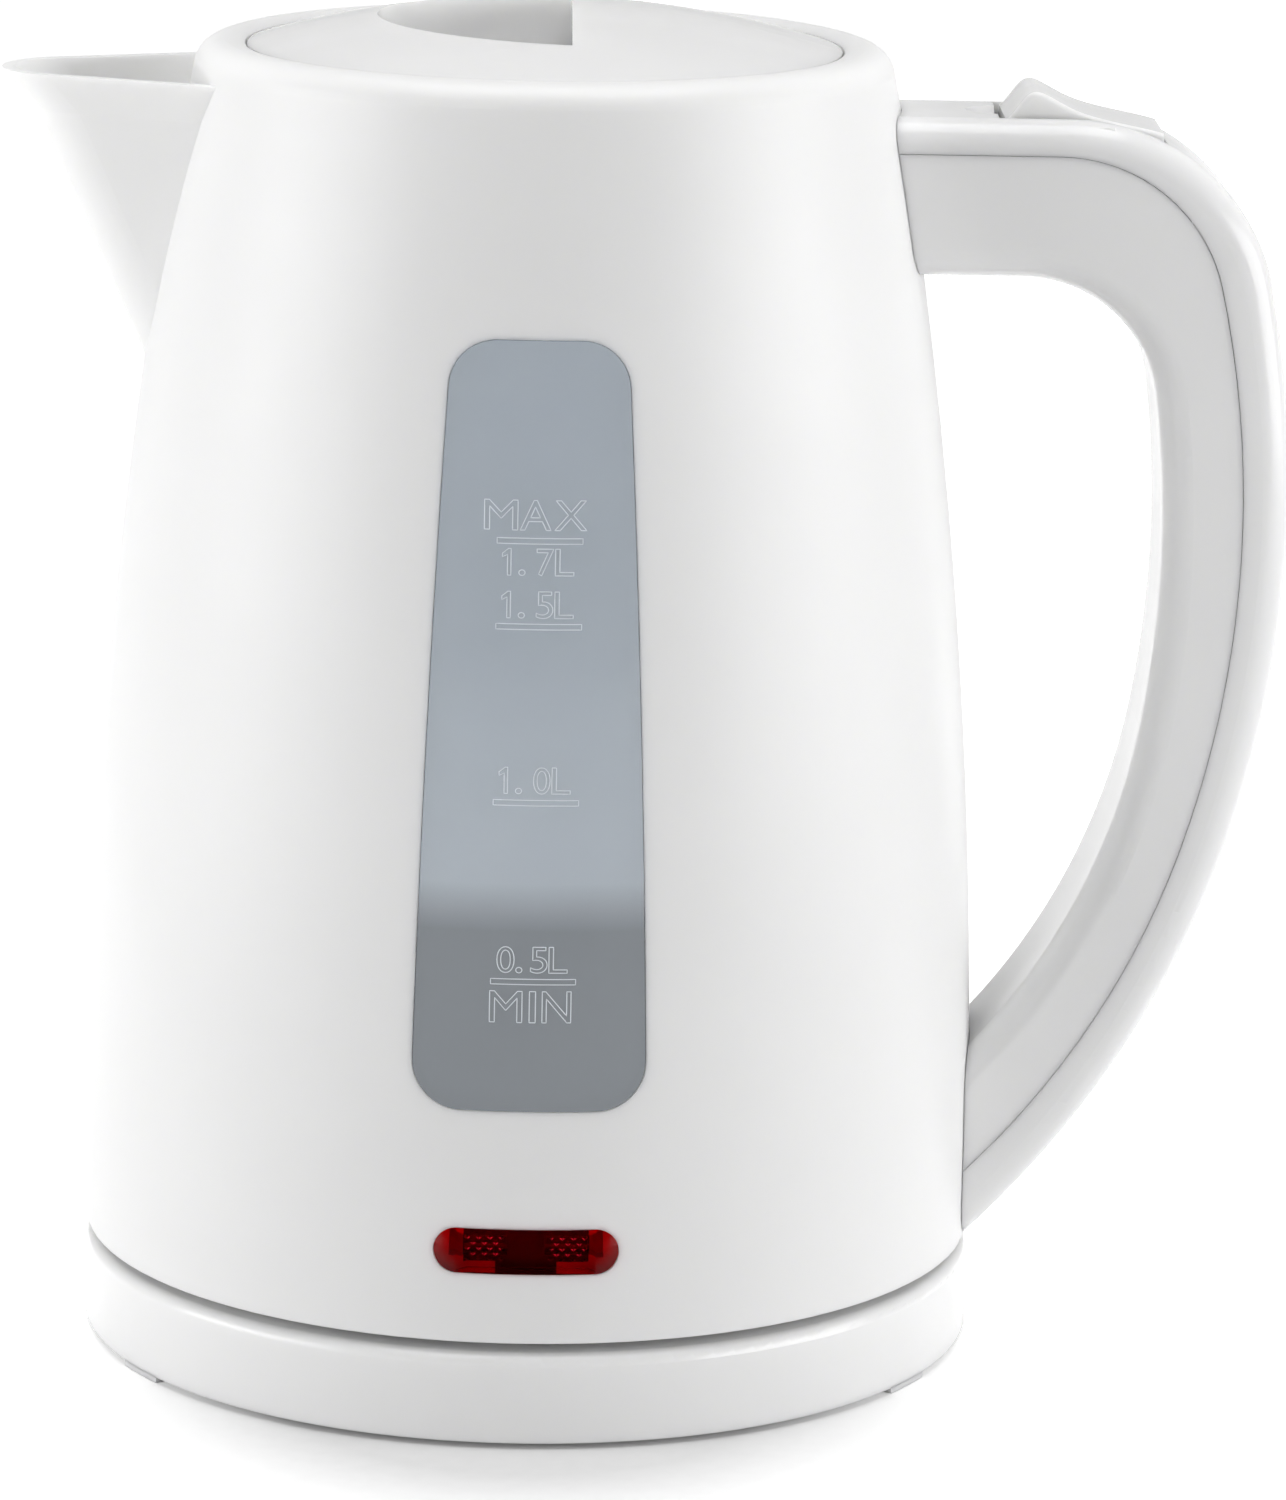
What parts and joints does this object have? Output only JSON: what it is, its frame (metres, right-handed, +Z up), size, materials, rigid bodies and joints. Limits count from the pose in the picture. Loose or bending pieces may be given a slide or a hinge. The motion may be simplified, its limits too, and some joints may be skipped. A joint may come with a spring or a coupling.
{
  "type": "electric kettle",
  "caption": "White electric kettle: tapered jug with spout, water window, loop handle with rocker switch and domed pull-off lid, lifting off and turning on a round power base.",
  "frame": {"origin": "middle of the power base, on the surface it stands on", "axes": "+Z up along the jug's axis, +X towards the handle, -X towards the spout, -Y towards the side with the water window and lamp"},
  "size_m": [0.2202, 0.155, 0.2309],
  "materials": {
    "white_plastic": "glossy moulded plastic",
    "clear_plastic": "smoky see-through plastic",
    "red_lens": "clear red plastic",
    "dark_plastic": "matt heat-proof plastic",
    "brass": "bright",
    "steel": "brushed",
    "aluminium": "plain",
    "bimetal": "rolled",
    "silicone": "soft silicone",
    "wire_sleeve": "woven glass sleeve",
    "bulb_glass": "clear"
  },
  "bodies": {
    "base": {"base_cover": "white_plastic", "base_bottom": "white_plastic", "base_feet": "white_plastic", "base_screws": "steel", "cord_gland": "dark_plastic", "base_connector": "dark_plastic", "base_contacts": "brass"},
    "socket": {"jug_socket": "dark_plastic"},
    "jug": {"body_shell": "white_plastic", "water_window": "clear_plastic", "lamp_lens": "red_lens", "lamp_holder": "dark_plastic", "lamp_bulbs": "bulb_glass", "spout_filter": "white_plastic", "filter_mesh": "steel", "heater_plate": "steel", "heater_seal": "silicone", "heater_clamp": "steel", "heater_screws": "steel", "heater_diffuser": "aluminium", "heating_element": "aluminium", "control_unit": "dark_plastic", "bimetal_discs": "bimetal", "bottom_cover": "white_plastic", "bottom_screws": "steel", "handle_inner": "white_plastic", "handle_cover": "white_plastic", "handle_screws": "steel", "steam_duct": "silicone", "steam_bimetal": "bimetal", "steam_switch": "dark_plastic", "lever_pin": "steel", "wiring_loom": "wire_sleeve"},
    "rocker": {"switch_rocker": "white_plastic"},
    "lever": {"trip_lever": "dark_plastic"},
    "lid": {"lid_cover": "white_plastic", "lid_liner": "white_plastic", "lid_seal": "silicone", "lid_screws": "steel"}
  },
  "joints": [
    {"name": "jug_lift", "type": "slide", "parent": "base", "child": "socket", "axis": [0, 0, 1], "range_m": [0, 0.08]},
    {"name": "jug_turn", "type": "hinge", "parent": "socket", "child": "jug", "pos_m": [0, 0, 0.03], "axis": [0, 0, 1], "continuous": true},
    {"name": "lid_lift", "type": "slide", "parent": "jug", "child": "lid", "axis": [0, 0, 1], "range_m": [0, 0.05]},
    {"name": "switch_rock", "type": "hinge", "parent": "jug", "child": "rocker", "pos_m": [0.093, 0, 0.209], "axis": [0, -1, 0], "range_deg": [0, 9]},
    {"name": "trip_turn", "type": "hinge", "parent": "jug", "child": "lever", "pos_m": [0.088, 0, 0.2], "axis": [0, -1, 0], "range_deg": [-9, 0]}
  ],
  "couplings": [
    {"joint": "trip_turn", "follows": "switch_rock", "ratio": -1}
  ]
}
